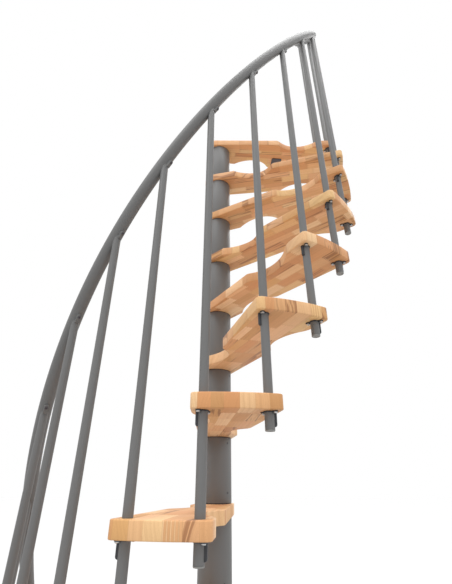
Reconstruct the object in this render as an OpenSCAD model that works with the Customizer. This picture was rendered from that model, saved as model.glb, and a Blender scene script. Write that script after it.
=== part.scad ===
// Half-turn spiral staircase with alternating paddle treads on a central pole

/* [Stair] */
// Number of treads
treads = 13; // [8:1:16]
// Height of one step, from tread top to tread top
rise = 235; // [190:1:290]
// Angle from one tread to the next, in degrees
step_angle = 14.73; // [12:0.01:18]
// Direction of the middle of the highest tread, in degrees from +X
top_angle = 0; // [-180:1:180]

/* [Treads] */
// Radius of the outer edge of a tread, from the pole's axis
tread_radius = 599; // [490:1:720]
// Thickness of a tread
tread_thick = 34; // [28:1:44]
// Half the width of a tread beside the pole
hub_half = 58; // [50:1:74]
// Distance from the pole's axis to the back of a tread
hub_back = 65; // [56:1:80]
// Size of the cut corners at the back of a tread
hub_chamfer = 35; // [10:1:42]
// Wood left beside a baluster hole, from the hole's axis to the side of the tread
side_margin = 29.5; // [24:0.5:40]
// Radius of the rounded outer corners of a tread
corner_r = 14; // [8:1:20]

/* [Tread scoops] */
// Distance of the inner scoop's deepest point from the pole's axis
inner_scoop_x = 192; // [180:1:215]
// Half-width left at the inner scoop
inner_neck = 31.5; // [26:0.5:38]
// Distance of the outer scoop's deepest point from the tread's outer edge
outer_scoop_x = 210.5; // [195:0.5:225]
// Half-width left at the outer scoop
outer_neck = 48; // [40:1:54]

/* [Pole] */
// Radius of the pole's spacer tubes
pole_r = 53; // [44:0.5:60]
// Wall of a spacer tube
pole_wall = 4; // [3:0.5:6]
// Radius of the tie tube that runs through all the treads
tie_r = 21; // [17:0.5:26]
// Wall of the tie tube
tie_wall = 4; // [3:0.5:6]
// Thickness of the centring disc at each end of a spacer
disc_thick = 2.5; // [2:0.5:4]
// Thickness of the base plate
base_thick = 12; // [8:1:16]
// Radius of the base plate
base_r = 125; // [115:1:150]
// Radius of the circle of floor bolts
floor_bolt_circle_r = 97; // [80:1:104]
// Number of floor bolts
floor_bolts = 6; // [4:1:8]
// Radius of a floor bolt hole
floor_bolt_hole_r = 7; // [5:0.5:9]

/* [Railing] */
// Distance of a baluster's axis from the outer edge of a tread
baluster_inset = 30.5; // [26:0.5:36]
// Radius of a baluster
baluster_r = 11; // [9:0.5:13]
// Wall of a baluster tube
baluster_wall = 2; // [1.5:0.5:3]
// Length of a baluster below the lower tread that it joins
baluster_tail = 38.5; // [34:0.5:60]
// Radius of the handrail
rail_r = 19; // [16:0.5:24]
// Height of the handrail's middle above the tread that a baluster stands on
rail_height = 971; // [860:1:1100]
// Length of handrail beyond the first and the last baluster
rail_overhang = 57; // [40:1:90]
// Radius of the floor foot of the lowest baluster
foot_r = 32; // [26:1:40]
// Thickness of the floor foot
foot_thick = 5; // [4:0.5:8]

/* [Clamps] */
// Thickness of a clamp's plate
clamp_thick = 3; // [2:0.5:6]
// Distance from a baluster's axis to each clamp screw
clamp_screw_offset = 17; // [16:0.5:20]
// Direction of the outer clamp screw from the baluster, in degrees from the tread's direction
clamp_turn = 40; // [20:1:70]
// Length of a clamp's tongue below the tread
tongue_length = 33; // [26:1:36]
// Thickness of a clamp's tongue beside the baluster
tongue_thick = 5; // [3:0.5:8]

/* [Landing plate] */
// Thickness of the landing plate
landing_thick = 5; // [4:0.5:8]
// Width of the landing plate, along the tread
landing_width = 52; // [46:1:80]
// Distance of the landing plate's near side from the pole's axis
landing_x = 284; // [270:1:300]
// Length of the plate under the tread, from its upright leg
landing_reach = 88; // [70:1:96]
// Height of the plate's upright leg above the tread's underside
landing_leg = 95; // [70:1:120]
// Radius of the landing bolt holes
landing_hole_r = 5; // [4:0.5:6]

/* [Hidden] */
$fn = 96;

steel = "dimgray";
beech = "burlywood";
black_nylon = "darkslategray";
grey_nylon = "gray";
dark_steel = "darkslategray";

fit = 0.3;                      // running clearance of a tube in its hole
cut = 1;                        // how far a cutting shape reaches past the face that it cuts
blend = 0.03;                   // overlap of an arc with the line or arc that it runs into

disc_setback = 1;               // a centring disc is this much smaller than the pole
spigot_length = 8;              // a centring disc's depth in its spacer tube
cap_thick = 8;
cap_bevel = 2;
nut_r = 32;                     // corner radius of the hexagon
nut_height = 18;
nut_wall = 5;
nut_dome = 9;
plug_thick = 3;
plug_depth = 14;
foot_socket_wall = 4;
foot_socket_height = 24;
foot_hole_inset = 7;
foot_hole_r = 2.5;
clamp_wall = 1.7;               // a clamp's plate round its baluster hole
clamp_r = baluster_r + fit + clamp_wall;
lug_r = 6;                      // end of a clamp's plate round a screw
tongue_half = 4;                // half-width of a clamp's tongue
tongue_round = 5;
tab_thick = 7;                  // handrail tab below the rail
tab_half = 6;
tab_back = 30;
tab_reach = 2;
landing_gap = 14;               // from the tread's side to the landing plate's upright leg
landing_hole_spacing = 28;
landing_hole_drop = 22;         // landing bolt holes below the top of the leg

baluster_circle_r = tread_radius - baluster_inset;
baluster_side = baluster_circle_r * sin(step_angle / 2);   // baluster hole from a tread's middle line
corner_half = baluster_side + side_margin;                 // half-width of a tread at its outer end
corner_x = sqrt(tread_radius ^ 2 - corner_half ^ 2);
side_slope = atan((corner_half - hub_half) / corner_x);    // slant of a tread's straight sides
rail_slope = atan(rise / (baluster_circle_r * step_angle * PI / 180));
pole_top = treads * rise;
tie_top = pole_top + cap_thick + nut_height - nut_wall;   // the tie tube ends inside the nut

// Scoop curves: [radius of the hollow, radius of the shoulder] on each side of the deepest point
inner_scoop_pole_side = [190, 4];
inner_scoop_rail_side = [87, 33];
outer_scoop_pole_side = [132, 26];
outer_scoop_rail_side = [166, 80];

function two_digits(n) = str(n < 10 ? "0" : "", n);
function tread_z(n) = n * rise - tread_thick;
function spacer_bottom(n) = n == 1 ? base_thick : (n - 1) * rise;
function tread_angle(n) = top_angle - (treads - n) * step_angle;
function baluster_angle(m) = tread_angle(m) + step_angle / 2;
function rail_z(m) = (m + 1) * rise + rail_height;
function side_half(x) = hub_half + x * tan(side_slope);

// Half of a scoop, running towards +X from its deepest point: a hollow arc and then a rounded
// shoulder that meets the straight side, which rises from depth with the given slope
module half_scoop(depth, slope, radii) {
    hollow = radii[0];
    shoulder = radii[1];
    turn = slope + acos((shoulder + (hollow - depth) * cos(slope)) / (hollow + shoulder));
    meet_x = hollow * sin(turn);
    shoulder_x = (hollow + shoulder) * sin(turn);
    shoulder_y = hollow - (hollow + shoulder) * cos(turn);
    end_x = shoulder_x - shoulder * sin(slope);
    reach = 2 * hollow;
    difference() {
        union() {
            intersection() {
                translate([0, hollow]) circle(r = hollow);
                translate([0, -cut]) square([meet_x, hollow + cut]);
            }
            translate([0, hollow]) square([meet_x, reach]);
            translate([meet_x, shoulder_y]) square([end_x - meet_x, reach]);
        }
        translate([shoulder_x, shoulder_y]) circle(r = shoulder + blend);
    }
}

// Scoop in the +Y side of a tread, leaving a half-width of neck at distance x
module scoop(x, neck, pole_side, rail_side) {
    depth = side_half(x) - neck;
    translate([x, neck]) {
        half_scoop(depth, side_slope, rail_side);
        mirror([1, 0]) half_scoop(depth, -side_slope, pole_side);
    }
}

// Outline before scooping: cut corners at the back, straight flaring sides, rounded outer end
module paddle_blank() {
    // centre of a corner arc, which touches both the straight side and the outer edge
    slope = tan(side_slope);
    inset_half = hub_half - corner_r / cos(side_slope);
    inset_radius = tread_radius - corner_r;
    corner_in_x = (sqrt(inset_radius ^ 2 * (1 + slope ^ 2) - inset_half ^ 2) - inset_half * slope)
        / (1 + slope ^ 2);
    corner_y = inset_half + corner_in_x * slope;
    side_x = corner_in_x - corner_r * sin(side_slope);
    side_y = corner_y + corner_r * cos(side_slope);
    ray = 1.1 * [corner_in_x, corner_y];
    intersection() {
        circle(r = tread_radius, $fn = 180);
        polygon([[0, 0], ray, [ray[0] + corner_half, 0], [ray[0], -ray[1]]]);
    }
    polygon([
        [-hub_back, -hub_half + hub_chamfer],
        [-hub_back + hub_chamfer, -hub_half],
        [0, -hub_half],
        [side_x, -side_y],
        [corner_in_x, -corner_y],
        [corner_in_x, corner_y],
        [side_x, side_y],
        [0, hub_half],
        [-hub_back + hub_chamfer, hub_half],
        [-hub_back, hub_half - hub_chamfer]]);
    for (side = [-1, 1]) translate([corner_in_x, side * corner_y]) circle(r = corner_r + blend);
}

// Paddle outline: the inner scoop is on the rear side and the outer one on the front side
module paddle() {
    difference() {
        paddle_blank();
        scoop(inner_scoop_x, inner_neck, inner_scoop_pole_side, inner_scoop_rail_side);
        mirror([0, 1])
            scoop(tread_radius - outer_scoop_x, outer_neck, outer_scoop_pole_side, outer_scoop_rail_side);
        circle(r = tie_r + fit);
        for (side = [-1, 1])
            rotate(side * step_angle / 2) translate([baluster_circle_r, 0]) circle(r = baluster_r + fit);
    }
}

// All treads are the same board, and every second one is turned over
module tread(n) {
    flip = (treads - n) % 2;
    color(beech) translate([0, 0, tread_z(n)]) rotate(tread_angle(n))
        linear_extrude(tread_thick) mirror([0, flip]) paddle();
}

// Flange on the floor that carries the whole pole
module base_plate() {
    color(steel) difference() {
        union() {
            cylinder(r = base_r, h = base_thick - disc_thick);
            cylinder(r = pole_r, h = base_thick);
        }
        for (i = [0:floor_bolts - 1])
            rotate(i * 360 / floor_bolts) translate([floor_bolt_circle_r, 0, -cut])
                cylinder(r = floor_bolt_hole_r, h = base_thick + 2 * cut);
    }
}

// Tube that threads every tread and spacer, from the base plate to the nut
module tie_tube() {
    color(steel) translate([0, 0, base_thick]) difference() {
        cylinder(r = tie_r, h = tie_top - base_thick);
        translate([0, 0, -cut]) cylinder(r = tie_r - tie_wall, h = tie_top - base_thick + 2 * cut);
    }
}

// Spacer tubes between the treads, each held between two centring discs
module pole_spacers() {
    color(steel) for (n = [1:treads]) {
        bottom = spacer_bottom(n) + disc_thick;
        length = tread_z(n) - disc_thick - bottom;
        translate([0, 0, bottom]) difference() {
            cylinder(r = pole_r, h = length);
            translate([0, 0, -cut]) cylinder(r = pole_r - pole_wall, h = length + 2 * cut);
        }
    }
}

// Nylon disc with a spigot that centres a spacer tube on the tie tube
module centring_disc() {
    difference() {
        union() {
            cylinder(r = pole_r - disc_setback, h = disc_thick);
            cylinder(r = pole_r - pole_wall - fit, h = disc_thick + spigot_length);
        }
        translate([0, 0, -cut]) cylinder(r = tie_r + fit, h = disc_thick + spigot_length + 2 * cut);
    }
}

module centring_discs() {
    color(black_nylon) for (n = [1:treads]) {
        translate([0, 0, spacer_bottom(n)]) centring_disc();
        translate([0, 0, tread_z(n)]) mirror([0, 0, 1]) centring_disc();
    }
}

// Washer plate on the highest tread, and the domed nut that clamps the stack
module pole_cap() {
    color(steel) translate([0, 0, pole_top]) difference() {
        union() {
            cylinder(r = pole_r, h = cap_thick - cap_bevel);
            translate([0, 0, cap_thick - cap_bevel])
                cylinder(r1 = pole_r, r2 = pole_r - cap_bevel, h = cap_bevel);
        }
        translate([0, 0, -cut]) cylinder(r = tie_r + fit, h = cap_thick + 2 * cut);
    }
}

module pole_nut() {
    dome_r = nut_r - nut_wall;
    color(steel) translate([0, 0, pole_top + cap_thick]) difference() {
        union() {
            cylinder(r = nut_r, h = nut_height, $fn = 6);
            translate([0, 0, nut_height]) intersection() {
                translate([0, 0, nut_dome - dome_r]) sphere(r = dome_r);
                cylinder(r = dome_r, h = nut_dome);
            }
        }
        translate([0, 0, -cut]) cylinder(r = tie_r + fit, h = tie_top - pole_top - cap_thick + cut + fit);
    }
}

// Places its children on the axis of baluster m, with +X pointing outwards
module at_baluster(m) {
    rotate(baluster_angle(m)) translate([baluster_circle_r, 0]) children();
}

// Places its children on the handrail above baluster m, with +X running uphill along the rail
module on_rail(m) {
    at_baluster(m) translate([0, 0, rail_z(m)]) rotate(90) rotate([0, -rail_slope, 0]) children();
}

// Straight stand-in for the handrail over one baluster, used to cope what meets it
module rail_cut(m) {
    on_rail(m) rotate([0, 90, 0]) cylinder(r = rail_r + fit, h = 8 * rail_r, center = true);
}

// Tube from below the rear of tread m, through the front of tread m + 1, coped to the handrail
module baluster(m) {
    bottom = m == 0 ? foot_thick : tread_z(m) - baluster_tail;
    color(steel) difference() {
        at_baluster(m) translate([0, 0, bottom]) difference() {
            cylinder(r = baluster_r, h = rail_z(m) - bottom);
            translate([0, 0, -cut]) cylinder(r = baluster_r - baluster_wall, h = rail_z(m) - bottom + 2 * cut);
        }
        rail_cut(m);
    }
}

// Moulded plug in the lower end of each baluster
module baluster_plugs() {
    color(grey_nylon) for (m = [1:treads]) at_baluster(m) translate([0, 0, tread_z(m) - baluster_tail]) {
        translate([0, 0, -plug_thick]) cylinder(r = baluster_r, h = plug_thick);
        cylinder(r = baluster_r - baluster_wall - fit, h = plug_depth);
    }
}

// Floor flange with a socket for the lowest baluster
module baluster_foot() {
    color(steel) at_baluster(0) difference() {
        union() {
            cylinder(r = foot_r, h = foot_thick);
            cylinder(r = baluster_r + foot_socket_wall, h = foot_socket_height);
        }
        translate([0, 0, foot_thick]) cylinder(r = baluster_r + fit, h = foot_socket_height);
        for (i = [0:2]) rotate(60 + 120 * i) translate([foot_r - foot_hole_inset, 0, -cut])
            cylinder(r = foot_hole_r, h = foot_thick + 2 * cut);
    }
}

// Moulded clamp under a tread: a plate with a screw lug on either side of the baluster and a
// tongue on the +Y side that grips the baluster from outside. +X is the tread's direction.
module clamp() {
    tongue_y = baluster_r + tongue_thick;
    difference() {
        union() {
            translate([0, 0, -clamp_thick]) linear_extrude(clamp_thick) rotate(clamp_turn) {
                circle(r = clamp_r);
                square([2 * clamp_screw_offset, 2 * lug_r], center = true);
                for (side = [-1, 1]) translate([side * clamp_screw_offset, 0]) circle(r = lug_r + blend);
            }
            translate([-tongue_half, 0, 0]) rotate([90, 0, 90]) linear_extrude(2 * tongue_half) {
                translate([0, -tongue_length + tongue_round])
                    square([tongue_y, tongue_length - tongue_round]);
                translate([0, -tongue_length]) square([tongue_y - tongue_round, tongue_length]);
                translate([tongue_y - tongue_round, -tongue_length + tongue_round])
                    circle(r = tongue_round + blend);
            }
        }
        translate([0, 0, -tongue_length - cut]) cylinder(r = baluster_r + fit, h = tongue_length + 2 * cut);
    }
}

module front_clamps() {
    color(black_nylon) for (m = [0:treads - 1]) at_baluster(m)
        translate([0, 0, tread_z(m + 1)]) rotate(step_angle / 2) mirror([0, 1]) clamp();
}

module rear_clamps() {
    color(black_nylon) for (m = [1:treads]) at_baluster(m)
        translate([0, 0, tread_z(m)]) rotate(-step_angle / 2) clamp();
}

// Tab on the uphill side of each baluster's head that takes the handrail screw
module rail_brackets() {
    color(steel) for (m = [0:treads]) difference() {
        on_rail(m) translate([0, 0, -rail_r - tab_thick]) linear_extrude(rail_r) {
            translate([-tab_back, -tab_half]) square([tab_back + tab_reach, 2 * tab_half]);
            translate([tab_reach, 0]) circle(r = tab_half);
        }
        rail_cut(m);
        at_baluster(m) translate([0, 0, tread_z(m + 1)])
            cylinder(r = baluster_r + fit, h = rail_z(m) - tread_z(m + 1));
        // nothing is kept on the downhill side of the baluster
        at_baluster(m) translate([0, -2 * tab_back, rail_z(m) - 5 * rail_r])
            translate([-tab_back, 0, 0]) cube([2 * tab_back, 2 * tab_back, 6 * rail_r]);
    }
}

// Handrail: a round bar swept along the helix, with rounded ends
rail_sides = 32;
rail_steps = 4;                 // rings between two balusters
cap_rings = 6;                  // rings of each rounded end
overhang_turn = rail_overhang * cos(rail_slope) / baluster_circle_r * 180 / PI;
rail_start = baluster_angle(0) - overhang_turn;
rail_end = baluster_angle(treads) + overhang_turn;
rail_rings = ceil((rail_end - rail_start) / step_angle * rail_steps);

function rail_point(angle) = [
    baluster_circle_r * cos(angle),
    baluster_circle_r * sin(angle),
    rail_z(0) + rise * (angle - baluster_angle(0)) / step_angle];
function rail_ring(angle, radius, shift) =
    let (ahead = [-sin(angle) * cos(rail_slope), cos(angle) * cos(rail_slope), sin(rail_slope)])
    let (out = [cos(angle), sin(angle), 0])
    let (up = cross(out, ahead))
    [for (i = [0:rail_sides - 1]) rail_point(angle) + ahead * shift
        + radius * (out * cos(i * 360 / rail_sides) + up * sin(i * 360 / rail_sides))];

module handrail() {
    rings = concat(
        [for (i = [1:cap_rings]) rail_ring(rail_start,
            rail_r * sin(90 * i / (cap_rings + 1)), -rail_r * cos(90 * i / (cap_rings + 1)))],
        [for (i = [0:rail_rings]) rail_ring(rail_start + (rail_end - rail_start) * i / rail_rings, rail_r, 0)],
        [for (i = [cap_rings:-1:1]) rail_ring(rail_end,
            rail_r * sin(90 * i / (cap_rings + 1)), rail_r * cos(90 * i / (cap_rings + 1)))]);
    last = len(rings) - 1;
    faces = concat(
        [[for (i = [0:rail_sides - 1]) i]],
        [for (k = [0:last - 1], i = [0:rail_sides - 1])
            let (j = (i + 1) % rail_sides, a = k * rail_sides, b = a + rail_sides) [a + i, b + i, b + j, a + j]],
        [[for (i = [rail_sides - 1:-1:0]) last * rail_sides + i]]);
    color(steel) polyhedron(points = [for (ring = rings) each ring], faces = faces);
}

// Angle plate under the rear side of the highest tread, which bolts it to the landing
module landing_plate() {
    side_y = side_half(landing_x + landing_width / 2) + landing_gap;
    color(dark_steel) translate([landing_x, side_y, tread_z(treads)]) difference() {
        union() {
            translate([0, -landing_reach, -landing_thick])
                cube([landing_width, landing_reach + landing_thick, landing_thick]);
            translate([0, 0, -landing_thick])
                cube([landing_width, landing_thick, landing_thick + landing_leg]);
        }
        for (side = [-1, 1])
            translate([landing_width / 2 + side * landing_hole_spacing / 2, -cut, landing_leg - landing_hole_drop])
                rotate([-90, 0, 0]) cylinder(r = landing_hole_r, h = landing_thick + 2 * cut);
    }
}

base_plate();
tie_tube();
pole_spacers();
centring_discs();
pole_cap();
pole_nut();
for (n = [1:treads]) tread(n);
for (m = [0:treads]) baluster(m);
front_clamps();
rear_clamps();
baluster_plugs();
baluster_foot();
rail_brackets();
handrail();
landing_plate();
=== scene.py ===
"""Finishes and fine detail of a spiral staircase with alternating paddle treads.

Lengths are in millimetres and angles in degrees, unless a name says otherwise. Each mesh is
built in millimetres where it belongs and turned into metres once, when its object is made.
"""
import math

import bmesh
import bpy
from mathutils import Matrix, Vector


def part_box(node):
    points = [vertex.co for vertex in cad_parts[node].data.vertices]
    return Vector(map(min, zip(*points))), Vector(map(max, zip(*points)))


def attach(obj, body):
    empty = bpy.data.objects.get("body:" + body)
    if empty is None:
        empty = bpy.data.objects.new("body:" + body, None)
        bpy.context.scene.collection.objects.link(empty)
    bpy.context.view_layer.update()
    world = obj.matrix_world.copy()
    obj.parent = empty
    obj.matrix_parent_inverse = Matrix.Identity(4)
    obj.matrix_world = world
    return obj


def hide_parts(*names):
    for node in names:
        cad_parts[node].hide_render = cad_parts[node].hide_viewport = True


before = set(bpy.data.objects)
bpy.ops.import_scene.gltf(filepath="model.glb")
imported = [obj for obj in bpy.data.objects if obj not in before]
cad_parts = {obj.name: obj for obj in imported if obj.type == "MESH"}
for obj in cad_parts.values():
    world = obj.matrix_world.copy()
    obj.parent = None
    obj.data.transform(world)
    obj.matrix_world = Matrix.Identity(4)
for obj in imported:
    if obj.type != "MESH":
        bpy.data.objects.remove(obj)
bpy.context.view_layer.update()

MM = 0.001


# ---------------------------------------------------------------- sizes taken from the frame
def corners(node):
    """Lowest and highest corner of a CAD node."""
    low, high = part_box(node)
    return low / MM, high / MM


def foot_of(node):
    """Centre of a CAD node's underside."""
    low, high = corners(node)
    return Vector(((low.x + high.x) / 2, (low.y + high.y) / 2, low.z))


def heading(point):
    """Direction from the pole's axis to a point, counter-clockwise from +X."""
    return math.degrees(math.atan2(point.y, point.x))


TREADS = sum(name.startswith("tread_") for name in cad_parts)
TOP_TREAD = f"tread_{TREADS:02d}"
tread_low, tread_high = corners(TOP_TREAD)
TREAD_RADIUS = tread_high.x
HUB_BACK = -tread_low.x
TREAD_THICK = tread_high.z - tread_low.z
RISE = tread_high.z / TREADS

first_foot, second_foot = foot_of("baluster_02"), foot_of("baluster_03")
BALUSTER_CIRCLE = first_foot.xy.length
STEP_ANGLE = heading(second_foot) - heading(first_foot)
TOP_ANGLE = 0
BALUSTER_R = (corners("baluster_01")[1].x - corners("baluster_01")[0].x) / 2
BALUSTER_TAIL = tread_low.z - RISE * (TREADS - 1) - first_foot.z

POLE_R = corners("pole_cap")[1].x
POLE_TOP = tread_high.z
BASE_R = corners("base_plate")[1].x
BASE_THICK = corners("base_plate")[1].z
DISC_R = corners("centring_discs")[1].x
CAP_THICK = corners("pole_cap")[1].z - POLE_TOP
NUT_R = corners("pole_nut")[1].x
NUT_TOP = corners("pole_nut")[1].z
FOOT_R = (corners("baluster_foot")[1].x - corners("baluster_foot")[0].x) / 2
FOOT_SOCKET_HEIGHT = corners("baluster_foot")[1].z
plate_low, plate_high = corners("landing_plate")

# ---------------------------------------------------------------- sizes of the parts' shapes
HUB_HALF = 58
HUB_CHAMFER = 35
HUB_ROUND = 4
SIDE_MARGIN = 29.5
CORNER_R = 14
INNER_SCOOP_X = 192
INNER_NECK = 31.5
OUTER_SCOOP_X = TREAD_RADIUS - 210.5
OUTER_NECK = 48
# radius of the hollow and radius of the shoulder, on the pole's and on the rail's side
INNER_SCOOP_POLE_SIDE = (190, 4)
INNER_SCOOP_RAIL_SIDE = (87, 33)
OUTER_SCOOP_POLE_SIDE = (132, 26)
OUTER_SCOOP_RAIL_SIDE = (166, 80)
BOARD_EASE = 2.5
HOLE_EASE = 0.6
FIT = 0.3

TIE_R = 21
POLE_WALL = 4
DISC_THICK = 2.5
BALUSTER_WALL = 2
RAIL_R = 19
RAIL_HEIGHT = 971
RAIL_OVERHANG = 57
CLAMP_THICK = 3
CLAMP_WALL = 1.7
CLAMP_R = BALUSTER_R + FIT + CLAMP_WALL
CLAMP_LUG_R = 6
CLAMP_SCREW_OFFSET = 17
CLAMP_TURN = 40
TONGUE_LENGTH = 33
TONGUE_THICK = 5
TONGUE_HALF = 4
TAB_THICK = 7
TAB_HALF = 6
TAB_REACH = 8
BASE_BOLT_CIRCLE = 97
BASE_BOLT_TURNS = (0, 60, 120, 180, 240, 300)
BASE_BOLT_HOLE = 7
FOOT_THICK = 5
FOOT_HOLE_CIRCLE = FOOT_R - 7
FOOT_HOLE = 2.5
FOOT_HOLE_TURNS = (60, 180, 300)
LANDING_THICK = 5
LANDING_HOLE = 5
LANDING_HOLE_SPACING = 28
LANDING_HOLE_DROP = 22

# how finely round shapes are drawn: degrees between points on an arc, and sides of whole circles
ARC_STEP = 4
RAIL_SIDES = 40
POLE_SIDES = 96
BALUSTER_SIDES = 48
BOLT_HOLE_SIDES = 32
SCREW_HOLE_SIDES = 24

# socket_head's and hex_bolt's sizes for each kind of screw and bolt
CLAMP_SCREW = {"head_r": 4.6, "head_height": 2.6, "dome": 0.6, "key_r": 2, "key_depth": 1.8}
TAB_SCREW = {"head_r": 4.2, "head_height": 2, "dome": 0.5, "key_r": 1.8, "key_depth": 1.4}
SET_SCREW = {"head_r": 3, "head_height": 0.7, "dome": 0.1, "key_r": 1.7, "key_depth": 0.6}
FOOT_SCREW = {"head_r": 4.4, "head_height": 2, "dome": 0.5, "key_r": 1.8, "key_depth": 1.4}
BASE_BOLT = {"flat_r": 9, "head_height": 7.5, "washer_r": 12, "washer_thick": 2.5}

# how far apart two boards lie in the pattern of the staves
RUN_ALONG, RUN_ACROSS, RUN_UP = 1190, 460, 90

RAIL_SLOPE = math.degrees(math.atan(RISE / (BALUSTER_CIRCLE * math.radians(STEP_ANGLE))))


def tread_angle(n):
    """Direction of the middle of tread n."""
    return TOP_ANGLE - (TREADS - n) * STEP_ANGLE


def tread_under(n):
    """Height of the underside of tread n."""
    return n * RISE - TREAD_THICK


def baluster_angle(m):
    """Direction of baluster m, counted from 0 at the floor."""
    return tread_angle(m) + STEP_ANGLE / 2


def rail_height_at(m):
    """Height of the handrail's middle over baluster m."""
    return (m + 1) * RISE + RAIL_HEIGHT


# ---------------------------------------------------------------- node trees
# a Mix node's two colours, by place, because its other kinds of input have the same names
COLOUR_A, COLOUR_B = 6, 7


def add(tree, kind, *values, named=None, output=0, **settings):
    """Adds a node, fills its inputs in order and by name, and gives back one of its outputs."""
    node = tree.nodes.new(kind)
    for setting, value in settings.items():
        setattr(node, setting, value)
    for key, value in [*enumerate(values), *(named or {}).items()]:
        if isinstance(value, bpy.types.NodeSocket):
            tree.links.new(value, node.inputs[key])
        elif value is not None:
            node.inputs[key].default_value = value
    return node.outputs[output] if len(node.outputs) else node


# ---------------------------------------------------------------- materials
def srgb(hex_colour):
    """Linear colour of an sRGB hex value."""
    channels = [int(hex_colour[k:k + 2], 16) / 255 for k in (1, 3, 5)]
    linear = [c / 12.92 if c <= 0.04045 else ((c + 0.055) / 1.055) ** 2.4 for c in channels]
    return (*linear, 1)


def new_material(name, **sockets):
    """Material with a Principled shader whose sockets hold the given plain values."""
    material = bpy.data.materials.new(name)
    material.use_nodes = True
    shader = material.node_tree.nodes["Principled BSDF"]
    for socket, value in sockets.items():
        shader.inputs[socket.replace("_", " ")].default_value = value
    return material, material.node_tree, shader


def powder_coat(name, colour, cloud_colour):
    """Polyester powder coat, sprayed and baked on steel: satin, with the faint orange peel of the
    melted powder and a slight cloudiness in its thickness."""
    peel_mm, peel_height_mm, cloud_mm = 2.2, 0.03, 180
    material, tree, shader = new_material(name, Roughness=0.5, IOR=1.5)
    place = add(tree, "ShaderNodeTexCoord", output="Object")
    cloud = add(tree, "ShaderNodeTexNoise", place, named={"Scale": 1 / (cloud_mm * MM), "Detail": 2.0})
    tint = add(tree, "ShaderNodeMix", data_type="RGBA", output="Result",
               named={"Factor": cloud, COLOUR_A: srgb(colour), COLOUR_B: srgb(cloud_colour)})
    peel = add(tree, "ShaderNodeTexNoise", place, named={"Scale": 1 / (peel_mm * MM), "Detail": 1.0})
    bump = add(tree, "ShaderNodeBump", named={"Height": peel, "Strength": 0.35,
                                              "Distance": peel_height_mm * MM})
    tree.links.new(tint, shader.inputs["Base Color"])
    tree.links.new(bump, shader.inputs["Normal"])
    return material


def moulded_nylon(name, colour, light_colour):
    """Glass-filled nylon, injection moulded in a spark-eroded tool: matt and evenly grained."""
    grain_mm, grain_height_mm = 0.9, 0.05
    material, tree, shader = new_material(name, Roughness=0.55, IOR=1.53)
    place = add(tree, "ShaderNodeTexCoord", output="Object")
    grain = add(tree, "ShaderNodeTexNoise", place, named={"Scale": 1 / (grain_mm * MM), "Detail": 2.0})
    tint = add(tree, "ShaderNodeMix", data_type="RGBA", output="Result",
               named={"Factor": grain, COLOUR_A: srgb(colour), COLOUR_B: srgb(light_colour)})
    bump = add(tree, "ShaderNodeBump", named={"Height": grain, "Strength": 0.4,
                                              "Distance": grain_height_mm * MM})
    tree.links.new(tint, shader.inputs["Base Color"])
    tree.links.new(bump, shader.inputs["Normal"])
    return material


def zinc_plate(name):
    """Bright zinc plating on a cold-formed steel screw: a soft mirror with faint blue-grey clouds."""
    cloud_mm = 3
    material, tree, shader = new_material(name, Metallic=1.0)
    place = add(tree, "ShaderNodeTexCoord", output="Object")
    cloud = add(tree, "ShaderNodeTexNoise", place, named={"Scale": 1 / (cloud_mm * MM), "Detail": 2.0})
    tint = add(tree, "ShaderNodeMix", data_type="RGBA", output="Result",
               named={"Factor": cloud, COLOUR_A: srgb("#D6D5D2"), COLOUR_B: srgb("#B9BCC0")})
    rough = add(tree, "ShaderNodeMapRange", cloud, named={"To Min": 0.22, "To Max": 0.36})
    tree.links.new(tint, shader.inputs["Base Color"])
    tree.links.new(rough, shader.inputs["Roughness"])
    return material


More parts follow.
